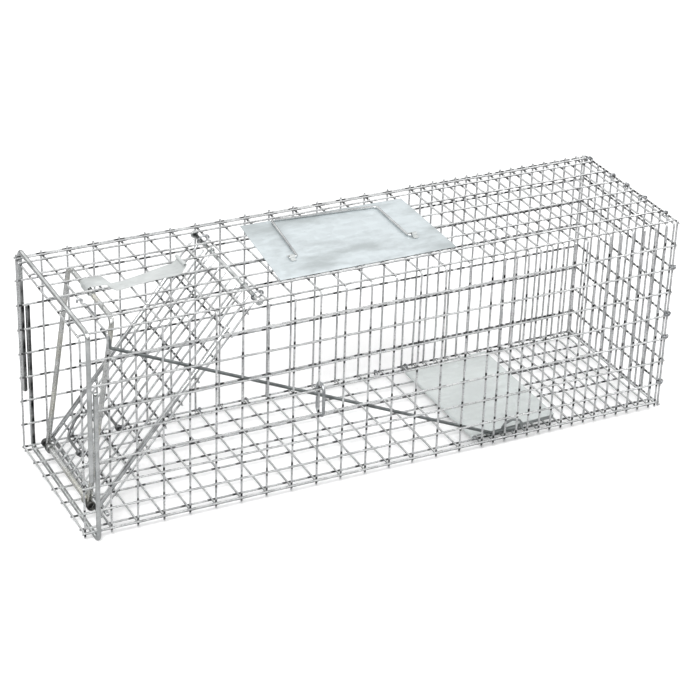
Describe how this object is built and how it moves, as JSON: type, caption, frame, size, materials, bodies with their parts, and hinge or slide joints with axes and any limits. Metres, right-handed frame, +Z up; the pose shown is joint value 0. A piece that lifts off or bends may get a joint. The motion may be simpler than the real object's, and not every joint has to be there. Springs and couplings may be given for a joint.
{
  "type": "live catch trap",
  "caption": "Welded wire cage trap with a sloping drop door, hanging lock bail, treadle pan, trigger rod and a folding handle.",
  "frame": {"origin": "middle of the floor's underside, on the ground plane", "axes": "+X runs from the front opening to the closed rear end, +Y to the side away from the trigger rod, +Z up"},
  "size_m": [0.6115, 0.1828, 0.2175],
  "materials": {
    "cage_wire": "bright zinc on welded wire, darker at the welds",
    "door_wire": "bright zinc on welded wire",
    "handle_sheet": "pale galvanised sheet with a faint spangle and grey rubs",
    "treadle_sheet": "pale galvanised sheet",
    "hanger_sheet": "pale galvanised sheet, folded",
    "hoop_rod": "zinc-plated round rod",
    "bail_rod": "dull zinc-plated round rod",
    "door_rod": "zinc-plated round wire",
    "trigger_wire": "dull grey zinc-plated wire",
    "handle_wire": "bright zinc-plated wire",
    "small_wire": "bright zinc-plated wire",
    "tie_ring": "dull steel wire ring"
  },
  "bodies": {
    "cage": {"near_side_panel": "cage_wire", "far_side_panel": "cage_wire", "floor_panel": "cage_wire", "roof_panel": "cage_wire", "rear_panel": "cage_wire", "front_hoop_upper": "hoop_rod", "front_hoop_lower": "hoop_rod", "door_hinge_rod": "door_rod", "hinge_clip_near": "tie_ring", "hinge_clip_far": "tie_ring", "bail_hanger": "hanger_sheet", "bail_keeper": "small_wire", "rod_guide_ring": "small_wire", "treadle_hinge_wire": "small_wire", "handle_plate": "handle_sheet", "handle_staple_front": "handle_wire", "handle_staple_rear": "handle_wire", "floor_seam_ring_1": "tie_ring", "floor_seam_ring_2": "tie_ring", "floor_seam_ring_3": "tie_ring", "floor_seam_ring_4": "tie_ring", "floor_seam_ring_5": "tie_ring", "rear_side_ring_1": "tie_ring", "rear_side_ring_2": "tie_ring", "rear_side_ring_3": "tie_ring", "rear_side_ring_4": "tie_ring", "rear_top_ring_1": "tie_ring", "rear_top_ring_2": "tie_ring", "rear_top_ring_3": "tie_ring", "rear_top_ring_4": "tie_ring", "rear_top_ring_5": "tie_ring"},
    "door": {"door_mesh": "door_wire", "door_side_rod_near": "door_rod", "door_side_rod_far": "door_rod", "door_bottom_rod": "door_rod", "door_hinge_eye_near": "door_rod", "door_hinge_eye_far": "door_rod", "door_pull_loop": "door_rod"},
    "bail": {"lock_bail": "bail_rod", "bail_foot_rod": "bail_rod"},
    "handle": {"handle": "handle_wire"},
    "treadle": {"treadle_plate": "treadle_sheet", "treadle_ear": "treadle_sheet"},
    "trigger": {"trigger_rod": "trigger_wire"}
  },
  "joints": [
    {"name": "door_swing", "type": "hinge", "parent": "cage", "child": "door", "pos_m": [-0.13208, 0, 0.19888], "axis": [0, 1, 0], "range_deg": [0, 44]},
    {"name": "bail_swing", "type": "hinge", "parent": "cage", "child": "bail", "pos_m": [-0.26289, 0, 0.19812], "axis": [0, 1, 0], "range_deg": [0, 75]},
    {"name": "handle_swing", "type": "hinge", "parent": "cage", "child": "handle", "pos_m": [-0.0127, -0.01842, 0.20585], "axis": [1, 0, 0], "range_deg": [0, 170]},
    {"name": "treadle_tilt", "type": "hinge", "parent": "cage", "child": "treadle", "pos_m": [0.09779, 0, 0.00483], "axis": [0, -1, 0], "range_deg": [0, 10]},
    {"name": "trigger_slide", "type": "slide", "parent": "cage", "child": "trigger", "axis": [-0.9117, 0, 0.4108], "range_m": [0, 0.0135]}
  ],
  "couplings": [
    {"joint": "bail_swing", "follows": "door_swing", "ratio": 1.693},
    {"joint": "trigger_slide", "follows": "treadle_tilt", "m_per_rad": 0.07277}
  ]
}
